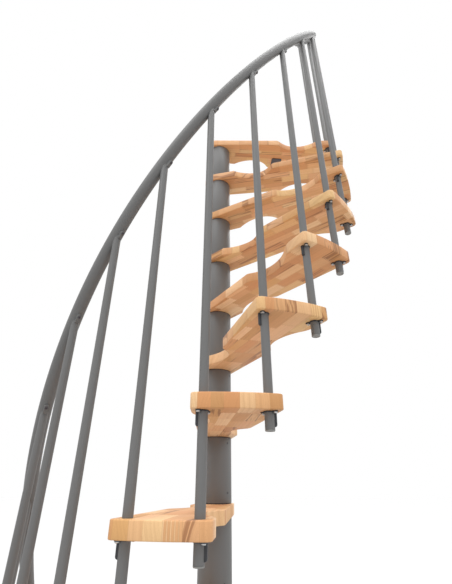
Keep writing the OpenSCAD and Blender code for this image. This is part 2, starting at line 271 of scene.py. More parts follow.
def beech_board(name):
    """Steamed beech, finger-jointed into staves, edge-glued, sanded and clear-lacquered: blocks of
    differing tone, slanting year rings, a few brown heart streaks and short dark ray flecks."""
    stave_mm, block_mm = 33, 115
    finger_mm, finger_pitch_mm = 9, 7.5
    ring_mm, streak_mm, streak_length_mm, fleck_mm, fleck_length_mm = 7, 7, 190, 1.3, 7.8
    wave_mm, wave_length_mm, wave_height_mm = 30, 160, 9
    glue_line_mm, fleck_relief_mm = 0.45, 0.08
    uneven_staves, uneven_blocks = 0.75, 0.6
    most_lean, most_drift = 0.3, 0.04
    # a finger joint slants, so the gap across its line is this many times shorter than along the board
    joint_slant = 4
    # large steps that give every stave its own blocks, and every block its own rings and streaks
    stave_step, ring_step, streak_step = 57.0, 83.0, 41.0
    material, tree, shader = new_material(name, IOR=1.5, Specular_IOR_Level=0.45, Coat_Weight=0.08,
                                          Coat_Roughness=0.35)
    board = add(tree, "ShaderNodeAttribute", attribute_name="board_mm", output="Vector")
    split = add(tree, "ShaderNodeSeparateXYZ", board).node
    along, across, up = split.outputs

    # staves side by side, and blocks end to end in each stave with zigzag finger joints
    stave_place = add(tree, "ShaderNodeMath", across, stave_mm, operation="DIVIDE")
    stave = add(tree, "ShaderNodeTexVoronoi", voronoi_dimensions="1D", output="Color",
                named={"W": stave_place, "Scale": 1.0, "Randomness": uneven_staves})
    stave_edge = add(tree, "ShaderNodeTexVoronoi", voronoi_dimensions="1D", feature="DISTANCE_TO_EDGE",
                     named={"W": stave_place, "Scale": 1.0, "Randomness": uneven_staves})
    stave_random = add(tree, "ShaderNodeSeparateColor", stave)
    zigzag = add(tree, "ShaderNodeMath", across, finger_pitch_mm / 2, operation="PINGPONG")
    finger = add(tree, "ShaderNodeMath", zigzag, finger_mm / (finger_pitch_mm / 2), along,
                 operation="MULTIPLY_ADD")
    blocks = add(tree, "ShaderNodeMath", finger, block_mm, operation="DIVIDE")
    block_place = add(tree, "ShaderNodeMath", stave_random, stave_step, blocks, operation="MULTIPLY_ADD")
    block = add(tree, "ShaderNodeTexVoronoi", voronoi_dimensions="1D", output="Color",
                named={"W": block_place, "Scale": 1.0, "Randomness": uneven_blocks})
    block_edge = add(tree, "ShaderNodeTexVoronoi", voronoi_dimensions="1D", feature="DISTANCE_TO_EDGE",
                     named={"W": block_place, "Scale": 1.0, "Randomness": uneven_blocks})
    randoms = add(tree, "ShaderNodeSeparateColor", block).node
    tone, lean, heart = randoms.outputs

    # year rings: flat sheets that lean by a different angle in every block and drift along it
    lean_angle = add(tree, "ShaderNodeMapRange", lean, named={"To Min": -most_lean, "To Max": most_lean})
    lean_cos = add(tree, "ShaderNodeMath", lean_angle, operation="COSINE")
    lean_sin = add(tree, "ShaderNodeMath", lean_angle, operation="SINE")
    drift = add(tree, "ShaderNodeMapRange", heart, named={"To Min": -most_drift, "To Max": most_drift})
    ring_across = add(tree, "ShaderNodeMath", across, lean_cos, operation="MULTIPLY")
    ring_up = add(tree, "ShaderNodeMath", up, lean_sin, ring_across, operation="MULTIPLY_ADD")
    ring_drift = add(tree, "ShaderNodeMath", along, drift, ring_up, operation="MULTIPLY_ADD")
    long_grain = add(tree, "ShaderNodeVectorMath", board,
                     (1 / wave_length_mm, 1 / wave_mm, 1 / wave_mm), operation="MULTIPLY")
    waviness = add(tree, "ShaderNodeTexNoise", long_grain, named={"Scale": 1.0, "Detail": 1.0})
    ring = add(tree, "ShaderNodeMath", waviness, wave_height_mm, ring_drift, operation="MULTIPLY_ADD")
    ring_place = add(tree, "ShaderNodeMath", ring, ring_mm, operation="DIVIDE")
    own_rings = add(tree, "ShaderNodeMath", tone, ring_step, ring_place, operation="MULTIPLY_ADD")
    rings = add(tree, "ShaderNodeTexNoise", noise_dimensions="1D",
                named={"W": own_rings, "Scale": 1.0, "Detail": 3.0, "Roughness": 0.6})
    streak_place = add(tree, "ShaderNodeMath", ring, streak_mm, operation="DIVIDE")
    own_streak = add(tree, "ShaderNodeMath", lean, streak_step, streak_place, operation="MULTIPLY_ADD")
    streak_run = add(tree, "ShaderNodeMath", along, streak_length_mm, operation="DIVIDE")
    streak_plane = add(tree, "ShaderNodeCombineXYZ", streak_run, own_streak, 0.0)
    streak = add(tree, "ShaderNodeTexNoise", streak_plane, noise_dimensions="2D",
                 named={"Scale": 1.0, "Detail": 1.0})
    flecks_place = add(tree, "ShaderNodeVectorMath", board,
                       (1 / fleck_length_mm, 1 / fleck_mm, 1 / fleck_mm), operation="MULTIPLY")
    flecks = add(tree, "ShaderNodeTexNoise", flecks_place, named={"Scale": 1.0, "Detail": 1.0})

    # colour: a tone and a cast for every block, then rings, heart streaks, flecks and glue lines
    tones = add(tree, "ShaderNodeValToRGB", tone).node
    ramp = tones.color_ramp
    ramp.elements[0].color = srgb("#CE9665")
    ramp.elements[1].color = srgb("#F5CFA3")
    ramp.elements.new(0.22).color = srgb("#D9A16D")
    ramp.elements.new(0.5).color = srgb("#E3AE7C")
    ramp.elements.new(0.75).color = srgb("#EBBC8C")
    casts = add(tree, "ShaderNodeValToRGB", lean).node
    casts.color_ramp.elements[0].color = srgb("#FFF6EE")
    casts.color_ramp.elements[1].color = srgb("#FBFFEC")
    casts.color_ramp.elements.new(0.5).color = srgb("#FFFFFF")
    cast = add(tree, "ShaderNodeMix", data_type="RGBA", blend_type="MULTIPLY", output="Result",
               named={"Factor": 1.0, COLOUR_A: tones.outputs[0], COLOUR_B: casts.outputs[0]})
    ring_shade = add(tree, "ShaderNodeMapRange", rings,
                     named={"From Min": 0.4, "From Max": 0.68, "To Min": 0.0, "To Max": 0.22})
    ringed = add(tree, "ShaderNodeMix", data_type="RGBA", output="Result",
                 named={"Factor": ring_shade, COLOUR_A: cast, COLOUR_B: srgb("#B87A48")})
    hearted = add(tree, "ShaderNodeMapRange", heart, named={"From Min": 0.72, "From Max": 0.76})
    streaked = add(tree, "ShaderNodeMapRange", streak,
                   named={"From Min": 0.55, "From Max": 0.62, "To Min": 0.14, "To Max": 0.7})
    heart_shade = add(tree, "ShaderNodeMath", hearted, streaked, operation="MULTIPLY")
    hearty = add(tree, "ShaderNodeMix", data_type="RGBA", output="Result",
                 named={"Factor": heart_shade, COLOUR_A: ringed, COLOUR_B: srgb("#8E5630")})
    fleck_shade = add(tree, "ShaderNodeMapRange", flecks,
                      named={"From Min": 0.58, "From Max": 0.75, "To Min": 0.0, "To Max": 0.28})
    flecked = add(tree, "ShaderNodeMix", data_type="RGBA", output="Result",
                  named={"Factor": fleck_shade, COLOUR_A: hearty, COLOUR_B: srgb("#A36D40")})
    stave_gap = add(tree, "ShaderNodeMath", stave_edge, stave_mm, operation="MULTIPLY")
    block_gap = add(tree, "ShaderNodeMath", block_edge, block_mm / joint_slant, operation="MULTIPLY")
    gap = add(tree, "ShaderNodeMath", stave_gap, block_gap, operation="MINIMUM")
    glue_shade = add(tree, "ShaderNodeMapRange", gap,
                     named={"From Min": 0.0, "From Max": glue_line_mm, "To Min": 0.45, "To Max": 0.0})
    glued = add(tree, "ShaderNodeMix", data_type="RGBA", output="Result",
                named={"Factor": glue_shade, COLOUR_A: flecked, COLOUR_B: srgb("#A87346")})
    rough = add(tree, "ShaderNodeMapRange", flecks, named={"To Min": 0.5, "To Max": 0.66})
    bump = add(tree, "ShaderNodeBump", named={"Height": flecks, "Strength": 0.25,
                                              "Distance": fleck_relief_mm * MM})
    tree.links.new(glued, shader.inputs["Base Color"])
    tree.links.new(rough, shader.inputs["Roughness"])
    tree.links.new(bump, shader.inputs["Normal"])
    return material


beech = beech_board("lacquered_beech")
grey_coat = powder_coat("grey_powder_coat", "#6A6A69", "#707070")
dark_coat = powder_coat("dark_powder_coat", "#4B474C", "#524E53")
black_nylon = moulded_nylon("black_moulded_nylon", "#2B2D31", "#3A3C40")
grey_nylon = moulded_nylon("grey_moulded_nylon", "#858583", "#8F8F8C")
zinc = zinc_plate("bright_zinc_plate")


# ---------------------------------------------------------------- mesh building
def arc(centre, radius, start, end):
    """Points on an arc, its ends included, about ARC_STEP degrees apart or closer."""
    steps = max(3, math.ceil(abs(end - start) / ARC_STEP))
    angles = [math.radians(start + (end - start) * k / steps) for k in range(steps + 1)]
    return [Vector((centre[0] + radius * math.cos(a), centre[1] + radius * math.sin(a))) for a in angles]


def circle(radius, centre=(0, 0), sides=64):
    """Points round a whole circle, counter-clockwise."""
    turns = [2 * math.pi * k / sides for k in range(sides)]
    return [Vector((centre[0] + radius * math.cos(t), centre[1] + radius * math.sin(t))) for t in turns]


def hole_ring(pitch_r, turns, radius, sides):
    """Round holes whose centres lie on a circle about the origin, in the given directions."""
    places = [(pitch_r * math.cos(math.radians(t)), pitch_r * math.sin(math.radians(t))) for t in turns]
    return [circle(radius, place, sides) for place in places]


def hexagon(radius, sides):
    """Points round a hexagon with the given corner radius, at even turns."""
    points = []
    for k in range(sides):
        turn = 2 * math.pi * k / sides
        from_flat = turn % (math.pi / 3) - math.pi / 6
        reach = radius * math.cos(math.pi / 6) / math.cos(from_flat)
        points.append(Vector((reach * math.cos(turn), reach * math.sin(turn))))
    return points


def inset(loop, distance):
    """A counter-clockwise loop moved inwards by distance, each corner along its mitre."""
    moved = []
    for k, here in enumerate(loop):
        way_in, way_out = here - loop[k - 1], loop[(k + 1) % len(loop)] - here
        left_in = Vector((-way_in.y, way_in.x)).normalized()
        left_out = Vector((-way_out.y, way_out.x)).normalized()
        moved.append(here + (left_in + left_out) * distance / (1 + left_in.dot(left_out)))
    return moved


def bridge(bm, lower, upper):
    """Quads between two closed rings with as many vertices."""
    for k in range(len(lower)):
        after = (k + 1) % len(lower)
        face = bm.faces.new((lower[k], lower[after], upper[after], upper[k]))
        face.smooth = True


def eased_levels(bottom, top, ease, steps=3):
    """(inset, height) pairs up the side of a slab whose edges are rounded by ease."""
    quarter = [math.pi / 2 * k / steps for k in range(steps + 1)]
    rise = [(ease * (1 - math.sin(a)), bottom + ease * (1 - math.cos(a))) for a in quarter]
    return rise + [(distance, bottom + top - height) for distance, height in reversed(rise)]


def eased_slab(bm, outline, holes, bottom, top, ease, hole_ease=HOLE_EASE):
    """Slab with rounded edges and holes that go right through. Loops are counter-clockwise."""
    ends = ([], [])
    for loop, round_over in [(outline, ease), *[(hole[::-1], hole_ease) for hole in holes]]:
        rings = []
        for distance, height in eased_levels(bottom, top, round_over):
            rings.append([bm.verts.new((*point, height)) for point in inset(loop, distance)])
        for lower, upper in zip(rings, rings[1:]):
            bridge(bm, lower, upper)
        for end, ring in zip(ends, (rings[0], rings[-1])):
            end.extend(bm.edges.get((ring[k], ring[k - 1])) for k in range(len(ring)))
    for end in ends:
        bmesh.ops.triangle_fill(bm, edges=end, use_beauty=True, use_dissolve=False)


def turned(bm, rings, closed=True):
    """Solid of stacked rings, each a list of points in the plane and a height. Its ends are closed
    with fans, or open rings are joined last to first, which makes a tube."""
    stack = [[bm.verts.new((*point, height)) for point in points] for points, height in rings]
    for lower, upper in zip(stack, stack[1:]):
        bridge(bm, lower, upper)
    if not closed:
        bridge(bm, stack[-1], stack[0])
        return
    for ring, (_, height) in ((stack[0], rings[0]), (stack[-1], rings[-1])):
        middle = bm.verts.new((*(sum((v.co.xy for v in ring), Vector((0, 0))) / len(ring)), height))
        for k in range(len(ring)):
            bm.faces.new((ring[k - 1], ring[k], middle))


def lathe(bm, profile, sides=64, closed=True):
    """Turned solid from (radius, height) pairs."""
    turned(bm, [(circle(radius, sides=sides), height) for radius, height in profile], closed)


def eased_tube(outer, inner, bottom, top, ease):
    """(radius, height) pairs round the wall of a tube with rounded rims."""
    outside = [(outer - distance, height) for distance, height in eased_levels(bottom, top, ease, 2)]
    inside = [(inner + distance, height) for distance, height in eased_levels(bottom, top, ease, 2)]
    return outside + inside[::-1]


def placed(bm, *matrices):
    """Moves everything in a bmesh by matrices, the first of them first."""
    for matrix in matrices:
        bm.transform(matrix)


def turn_z(angle):
    return Matrix.Rotation(math.radians(angle), 4, "Z")


def turn_y(angle):
    return Matrix.Rotation(math.radians(angle), 4, "Y")


def turn_x(angle):
    return Matrix.Rotation(math.radians(angle), 4, "X")


def mirror_y():
    return Matrix.Scale(-1, 4, (0, 1, 0))


def shift(x, y, z):
    return Matrix.Translation((x, y, z))


def joined(bm, build, sizes, *matrices):
    """Builds one more solid, moves it by matrices and adds it to bm."""
    one = bmesh.new()
    build(one, **sizes)
    placed(one, *matrices)
    mesh = bpy.data.meshes.new("joined")
    one.to_mesh(mesh)
    one.free()
    bm.from_mesh(mesh)
    bpy.data.meshes.remove(mesh)


def face_outwards(bm):
    """Makes the faces of every shell agree, and turns a shell whose volume comes out negative."""
    bmesh.ops.recalc_face_normals(bm, faces=bm.faces)
    bm.normal_update()
    left = set(bm.faces)
    while left:
        shell = [left.pop()]
        # the shell grows by each face's neighbours while it is walked through
        for face in shell:
            beside = {near for edge in face.edges for near in edge.link_faces} & left
            left -= beside
            shell += beside
        volume = sum(f.normal.dot(f.calc_center_median()) * f.calc_area() for f in shell)
        if volume < 0:
            bmesh.ops.reverse_faces(bm, faces=shell)


def made(name, bm, material=None):
    """Object in metres from a bmesh in millimetres, smooth except where it folds sharply."""
    crease = 35
    face_outwards(bm)
    bm.transform(Matrix.Scale(MM, 4))
    mesh = bpy.data.meshes.new(name)
    bm.to_mesh(mesh)
    bm.free()
    mesh.set_sharp_from_angle(angle=math.radians(crease))
    if material:
        mesh.materials.append(material)
    piece = bpy.data.objects.new(name, mesh)
    bpy.context.scene.collection.objects.link(piece)
    return piece


def fitted(piece, slot, *nodes):
    """Puts a finished piece on the frame, in place of the CAD nodes that it stands for."""
    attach(piece, "root")
    if nodes:
        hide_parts(*nodes)


# ---------------------------------------------------------------- rows that climb round the pole
def shape_tree(name, sockets):
    """Geometry Nodes tree with the named inputs, and the outputs of its Group Input node."""
    tree = bpy.data.node_groups.new(name, "GeometryNodeTree")
    for socket, kind in sockets.items():
        tree.interface.new_socket(socket, in_out="INPUT", socket_type=f"NodeSocket{kind}")
    tree.interface.new_socket("Shape", in_out="OUTPUT", socket_type="NodeSocketGeometry")
    return tree, add(tree, "NodeGroupInput").node.outputs


def climbing_tree():
    """Geometry Nodes tree that repeats a piece up and round the pole, once for every step."""
    tree, given = shape_tree("climbing_row", {
        "Piece": "Object", "Count": "Int", "Radius": "Float", "First Angle": "Float",
        "Turn": "Float", "First Height": "Float", "Rise": "Float", "Material": "Material"})
    index = add(tree, "GeometryNodeInputIndex")
    angle = add(tree, "ShaderNodeMath", index, given["Turn"], given["First Angle"],
                operation="MULTIPLY_ADD")
    height = add(tree, "ShaderNodeMath", index, given["Rise"], given["First Height"],
                 operation="MULTIPLY_ADD")
    spoke = add(tree, "ShaderNodeCombineXYZ", given["Radius"], 0.0, height)
    place = add(tree, "ShaderNodeVectorRotate", spoke, rotation_type="Z_AXIS", named={"Angle": angle})
    points = add(tree, "GeometryNodeMeshLine", given["Count"], named={"Offset": (0, 0, 0)})
    spread = add(tree, "GeometryNodeSetPosition", points, named={"Position": place})
    piece = add(tree, "GeometryNodeObjectInfo", given["Piece"], output="Geometry")
    facing = add(tree, "ShaderNodeCombineXYZ", 0.0, 0.0, angle)
    row = add(tree, "GeometryNodeInstanceOnPoints", spread,
              named={"Instance": piece, "Rotation": facing})
    solid = add(tree, "GeometryNodeRealizeInstances", row)
    finished = add(tree, "GeometryNodeSetMaterial", solid, named={"Material": given["Material"]})
    add(tree, "NodeGroupOutput", finished)
    return tree


def evaluated(name, tree, inputs):
    """Object whose plain mesh is the result of a node tree with the given inputs."""
    holder = bpy.data.objects.new(name, bpy.data.meshes.new(name))
    bpy.context.scene.collection.objects.link(holder)
    modifier = holder.modifiers.new(name, "NODES")
    modifier.node_group = tree
    for item in tree.interface.items_tree:
        if item.in_out == "INPUT":
            modifier[item.identifier] = inputs[item.name]
    bpy.context.view_layer.update()
    result = holder.evaluated_get(bpy.context.evaluated_depsgraph_get())
    mesh = bpy.data.meshes.new_from_object(result)
    holder.modifiers.remove(modifier)
    mesh.name = name
    holder.data = mesh
    return holder


climbing_row = climbing_tree()


def climbing(name, bm, material, count, radius, first_angle, first_height):
    """One object with count copies of the piece in bm, each a step further up and round. The
    piece is built beside the pole's axis as it would stand in the direction of +X."""
    source = made(f"{name}_one", bm)
    row = evaluated(name, climbing_row, {
        "Piece": source, "Count": count, "Radius": radius * MM, "Material": material,
        "First Angle": math.radians(first_angle), "Turn": math.radians(STEP_ANGLE),
        "First Height": first_height * MM, "Rise": RISE * MM})
    bpy.data.objects.remove(source)
    return row


# ---------------------------------------------------------------- treads
def side_geometry():
    """Slope of a tread's straight side, and the centre of its rounded outer corner."""
    outer_half = BALUSTER_CIRCLE * math.sin(math.radians(STEP_ANGLE / 2)) + SIDE_MARGIN
    slope = (outer_half - HUB_HALF) / math.sqrt(TREAD_RADIUS ** 2 - outer_half ** 2)
    reach = TREAD_RADIUS - CORNER_R
    start = HUB_HALF - CORNER_R * math.sqrt(1 + slope ** 2)
    corner_x = (math.sqrt(reach ** 2 * (1 + slope ** 2) - start ** 2) - start * slope) / (1 + slope ** 2)
    return slope, Vector((corner_x, start + corner_x * slope))


def half_scoop(depth, slope, radii):
    """Points from a scoop's deepest point to the straight side, which rises from depth by slope."""
    hollow, shoulder = radii
    lean = math.radians(slope)
    turn = slope + math.degrees(
        math.acos((shoulder + (hollow - depth) * math.cos(lean)) / (hollow + shoulder)))
    swing = math.radians(turn)
    middle = ((hollow + shoulder) * math.sin(swing), hollow - (hollow + shoulder) * math.cos(swing))
    return arc((0, hollow), hollow, -90, turn - 90) + arc(middle, shoulder, turn + 90, slope + 90)[1:]


def paddle_side(scoop_x, neck, pole_side, rail_side):
    """One side of a tread from the hub's back to the middle of the outer edge, on the +Y side."""
    slope, corner = side_geometry()
    lean = math.degrees(math.atan(slope))
    depth = HUB_HALF + scoop_x * slope - neck
    towards_pole = [Vector((-x, y)) for x, y in half_scoop(depth, -lean, pole_side)]
    towards_rail = half_scoop(depth, lean, rail_side)
    scoop = [Vector((scoop_x, neck)) + p for p in towards_pole[::-1] + towards_rail[1:]]
    blunt = HUB_ROUND * math.tan(math.radians(45 / 2))
    back = arc((-HUB_BACK + HUB_ROUND, HUB_HALF - HUB_CHAMFER - blunt), HUB_ROUND, 180, 135)
    shoulder = arc((-HUB_BACK + HUB_CHAMFER + blunt, HUB_HALF - HUB_ROUND), HUB_ROUND, 135, 90)
    corner_turn = math.degrees(math.atan2(corner.y, corner.x))
    outer = arc(corner, CORNER_R, 90 + lean, corner_turn)
    edge = arc((0, 0), TREAD_RADIUS, corner_turn, 0)
    return back + shoulder + scoop + outer + edge[1:]


def paddle_outline():
    """Counter-clockwise outline: the inner scoop is on the +Y side and the outer one on the -Y side."""
    front = paddle_side(OUTER_SCOOP_X, OUTER_NECK, OUTER_SCOOP_POLE_SIDE, OUTER_SCOOP_RAIL_SIDE)
    rear = paddle_side(INNER_SCOOP_X, INNER_NECK, INNER_SCOOP_POLE_SIDE, INNER_SCOOP_RAIL_SIDE)
    return [Vector((x, -y)) for x, y in front] + rear[-2::-1]


def tread_board(n, outline):
    """Board n, cut from its own run of staves. Every second board is turned over."""
    holes = [circle(TIE_R + FIT), *hole_ring(BALUSTER_CIRCLE, (-STEP_ANGLE / 2, STEP_ANGLE / 2),
                                             BALUSTER_R + FIT, BALUSTER_SIDES)]
    bm = bmesh.new()
    eased_slab(bm, outline, holes, 0, TREAD_THICK, BOARD_EASE)
    if (TREADS - n) % 2:
        placed(bm, turn_x(180), shift(0, 0, TREAD_THICK))
    own_run = n * Vector((RUN_ALONG, RUN_ACROSS, RUN_UP))
    staves = [v.co + own_run for v in bm.verts]
    placed(bm, turn_z(tread_angle(n)), shift(0, 0, tread_under(n)))
    board = made(f"board_{n:02d}", bm, beech)
    attribute = board.data.attributes.new("board_mm", "FLOAT_VECTOR", "POINT")
    attribute.data.foreach_set("vector", [value for place in staves for value in place])
    fitted(board, "beech", f"tread_{n:02d}")


# ---------------------------------------------------------------- handrail
def handrail_tree():
    """Geometry Nodes tree of a round bar swept along the helix, with rounded ends."""
    merge_m = 0.0001
    tree, given = shape_tree("helical_bar", {
        "Rings": "Int", "Cap Rings": "Int", "Sides": "Int", "Helix Radius": "Float",
        "Bar Radius": "Float", "Start Angle": "Float", "Swept Angle": "Float",
        "Start Height": "Float", "Climb": "Float", "Slope": "Float", "Material": "Material"})
    index = add(tree, "GeometryNodeInputIndex")
    last = add(tree, "ShaderNodeMath", given["Rings"], 1.0, operation="SUBTRACT")
    from_end = add(tree, "ShaderNodeMath", last, index, operation="SUBTRACT")

    # both ends round off over Cap Rings rings; the rings between them are spread evenly
    start_turn = add(tree, "ShaderNodeMapRange", index,
                     named={"From Max": given["Cap Rings"], "To Max": math.pi / 2})
    end_turn = add(tree, "ShaderNodeMapRange", from_end,
                   named={"From Max": given["Cap Rings"], "To Max": math.pi / 2})
    start_sine = add(tree, "ShaderNodeMath", start_turn, operation="SINE")
    end_sine = add(tree, "ShaderNodeMath", end_turn, operation="SINE")
    start_cosine = add(tree, "ShaderNodeMath", start_turn, operation="COSINE")
    end_cosine = add(tree, "ShaderNodeMath", end_turn, operation="COSINE")
    thickness = add(tree, "ShaderNodeMath", start_sine, end_sine, operation="MULTIPLY")
    beyond = add(tree, "ShaderNodeMath", end_cosine, start_cosine, operation="SUBTRACT")
    overshoot = add(tree, "ShaderNodeMath", beyond, given["Bar Radius"], operation="MULTIPLY")
    last_even = add(tree, "ShaderNodeMath", last, given["Cap Rings"], operation="SUBTRACT")
    share = add(tree, "ShaderNodeMapRange", index,
                named={"From Min": given["Cap Rings"], "From Max": last_even})

    # a point's angle and height on the helix
    slope_cosine = add(tree, "ShaderNodeMath", given["Slope"], operation="COSINE")
    slope_sine = add(tree, "ShaderNodeMath", given["Slope"], operation="SINE")
    sideways = add(tree, "ShaderNodeMath", overshoot, slope_cosine, operation="MULTIPLY")
    extra_angle = add(tree, "ShaderNodeMath", sideways, given["Helix Radius"], operation="DIVIDE")
    even_angle = add(tree, "ShaderNodeMath", share, given["Swept Angle"], given["Start Angle"],
                     operation="MULTIPLY_ADD")
    angle = add(tree, "ShaderNodeMath", even_angle, extra_angle, operation="ADD")
    even_height = add(tree, "ShaderNodeMath", share, given["Climb"], given["Start Height"],
                      operation="MULTIPLY_ADD")
    height = add(tree, "ShaderNodeMath", overshoot, slope_sine, even_height, operation="MULTIPLY_ADD")
    spoke = add(tree, "ShaderNodeCombineXYZ", given["Helix Radius"], 0.0, height)
    place = add(tree, "ShaderNodeVectorRotate", spoke, rotation_type="Z_AXIS", named={"Angle": angle})

    points = add(tree, "GeometryNodeMeshLine", given["Rings"], named={"Offset": (0, 0, 0)})
    helix = add(tree, "GeometryNodeSetPosition", points, named={"Position": place})
    path = add(tree, "GeometryNodeMeshToCurve", helix)
    upright = add(tree, "GeometryNodeSetCurveNormal", path)
    section = add(tree, "GeometryNodeCurvePrimitiveCircle", given["Sides"],
                  named={"Radius": given["Bar Radius"]})
    bar = add(tree, "GeometryNodeCurveToMesh", upright, section, thickness)
    closed = add(tree, "GeometryNodeMergeByDistance", bar, named={"Distance": merge_m})
    solid = add(tree, "GeometryNodeRealizeInstances", closed)
    finished = add(tree, "GeometryNodeSetMaterial", solid, named={"Material": given["Material"]})
    add(tree, "NodeGroupOutput", finished)
    return tree


def handrail():
    """Bent steel tube that follows the baluster heads, closed at both ends."""
    overhang = math.degrees(RAIL_OVERHANG * math.cos(math.radians(RAIL_SLOPE)) / BALUSTER_CIRCLE)
    swept = TREADS * STEP_ANGLE + 2 * overhang
    rings_a_step, cap_rings = 10, 6
    bar = evaluated("handrail_bar", handrail_tree(), {
        "Rings": round(swept / STEP_ANGLE * rings_a_step) + 2 * cap_rings, "Cap Rings": cap_rings,
        "Sides": RAIL_SIDES, "Helix Radius": BALUSTER_CIRCLE * MM, "Bar Radius": RAIL_R * MM,
        "Start Angle": math.radians(baluster_angle(0) - overhang), "Swept Angle": math.radians(swept),
        "Start Height": (rail_height_at(0) - overhang / STEP_ANGLE * RISE) * MM,
        "Climb": swept / STEP_ANGLE * RISE * MM, "Slope": math.radians(RAIL_SLOPE),
        "Material": grey_coat})
    bar.data.shade_smooth()
    fitted(bar, "grey_powder_coat", "handrail")


# ---------------------------------------------------------------- balusters
def coped_height(x, y, reach):
    """Height under the handrail's axis at which a baluster's wall meets the rail, for a point x
    outwards and y uphill of the baluster's axis."""
    slope = math.radians(RAIL_SLOPE)
    return y * math.tan(slope) - math.sqrt(reach ** 2 - x ** 2) / math.cos(slope)


def baluster_tube(m):
    """Tube that hangs below the lower tread that it joins and is coped to the handrail's underside."""
    bottom = FOOT_THICK if m == 0 else tread_under(m) - BALUSTER_TAIL
    head = rail_height_at(m)
    ease = 0.5
    bm = bmesh.new()
    stack = []
    for radius, height in ((BALUSTER_R, bottom + ease), (BALUSTER_R - ease, bottom),
                           (BALUSTER_R - BALUSTER_WALL, bottom)):
        stack.append([bm.verts.new((*p, height)) for p in circle(radius, sides=BALUSTER_SIDES)])
    for radius in (BALUSTER_R - BALUSTER_WALL, BALUSTER_R):
        ring = [(*p, head + coped_height(p.x, p.y, RAIL_R)) for p in circle(radius, sides=BALUSTER_SIDES)]
        stack.append([bm.verts.new(p) for p in ring])
    for k, ring in enumerate(stack):
        bridge(bm, ring, stack[(k + 1) % len(stack)])
    placed(bm, shift(BALUSTER_CIRCLE, 0, 0), turn_z(baluster_angle(m)))
    number = f"{m + 1:02d}"
    fitted(made(f"baluster_tube_{number}", bm, grey_coat), "grey_powder_coat", f"baluster_{number}")


def baluster_plugs():
    """Push-in plugs with a dished face that close the lower ends of the balusters."""
    flange, ease, dish, rim, dish_edge, back_ease = 3, 0.8, 1, 3, 1, 0.2
    stem_r, stem_top = BALUSTER_R - BALUSTER_WALL - FIT, 14
    bm = bmesh.new()
    lathe(bm, [(BALUSTER_R - rim - dish_edge, dish - flange), (BALUSTER_R - rim, -flange),
               (BALUSTER_R - ease, -flange), (BALUSTER_R, ease - flange), (BALUSTER_R, -back_ease),
               (stem_r, 0), (stem_r, stem_top)], BALUSTER_SIDES)
    plugs = climbing("baluster_end_plugs", bm, grey_nylon, TREADS, BALUSTER_CIRCLE,
                     baluster_angle(1), tread_under(1) - BALUSTER_TAIL)
    fitted(plugs, "grey_nylon", "baluster_plugs")


def baluster_foot():
    """Floor flange with a socket, a weld between the two and three screw holes."""
    wall, weld, ease = 4, 3, 0.8
    socket_r = BALUSTER_R + wall
    holes = hole_ring(FOOT_HOLE_CIRCLE, FOOT_HOLE_TURNS, FOOT_HOLE, SCREW_HOLE_SIDES)
    bm = bmesh.new()
    eased_slab(bm, circle(FOOT_R), holes, 0, FOOT_THICK, ease)
    lathe(bm, [(socket_r + weld, FOOT_THICK), (socket_r + weld / 3, FOOT_THICK + weld / 3),
               (socket_r, FOOT_THICK + weld), (socket_r, FOOT_SOCKET_HEIGHT - ease),
               (socket_r - ease, FOOT_SOCKET_HEIGHT), (BALUSTER_R + FIT, FOOT_SOCKET_HEIGHT),
               (BALUSTER_R + FIT, FOOT_THICK)], closed=False)
    placed(bm, shift(BALUSTER_CIRCLE, 0, 0), turn_z(baluster_angle(0)))
    fitted(made("baluster_floor_foot", bm, grey_coat), "grey_powder_coat", "baluster_foot")


# ---------------------------------------------------------------- screws and bolts
def socket_head(bm, head_r, head_height, dome, key_r, key_depth):
    """Round head with a hexagonal socket, standing on z = 0 and facing +Z."""
    sides, dome_levels = 36, 3
    edge, rim_r, top = head_height * 0.75, key_r * 1.35, head_height + dome
    rings = [(circle(head_r, sides=sides), 0), (circle(head_r, sides=sides), edge)]
    for k in range(1, dome_levels + 1):
        share = k / dome_levels
        rings.append((circle(head_r + (rim_r - head_r) * share, sides=sides),
                      edge + (top - edge) * math.sin(math.pi / 2 * share)))
    rings += [(hexagon(key_r, sides), top), (hexagon(key_r, sides), top - key_depth)]
    turned(bm, rings)


def hex_bolt(bm, flat_r, head_height, washer_r, washer_thick):
    """Hexagon head on a washer, standing on z = 0 and facing +Z, with the usual turned chamfer."""
    sides, ease, chamfer = 48, 0.4, 1.2
    chamfer_r, face_r = flat_r * 1.04, flat_r * 0.9
    top = washer_thick + head_height
    head = hexagon(flat_r / math.cos(math.pi / 6), sides)
    chamfered = [p * min(1, chamfer_r / p.length) for p in head]
    washer = circle(washer_r, sides=sides)
    turned(bm, [(washer, 0), (washer, washer_thick - ease),
                (circle(washer_r - ease, sides=sides), washer_thick)])
    turned(bm, [(head, washer_thick), (head, top - chamfer), (chamfered, top - ease),
                (circle(face_r, sides=sides), top)])


# ---------------------------------------------------------------- clamps under the treads
def climbing_clamps(name, bm, material, front):
    """A row of what is built round a rear baluster's axis with the tread's underside at z = 0 and
    +X along the tread. Its mirror image stands at the front of the treads."""
    if front:
        placed(bm, mirror_y())
        bmesh.ops.reverse_faces(bm, faces=bm.faces)
    first = 0 if front else 1
    placed(bm, turn_z(STEP_ANGLE / 2 if front else -STEP_ANGLE / 2))
    return climbing(name, bm, material, TREADS, BALUSTER_CIRCLE, baluster_angle(first), tread_under(1))


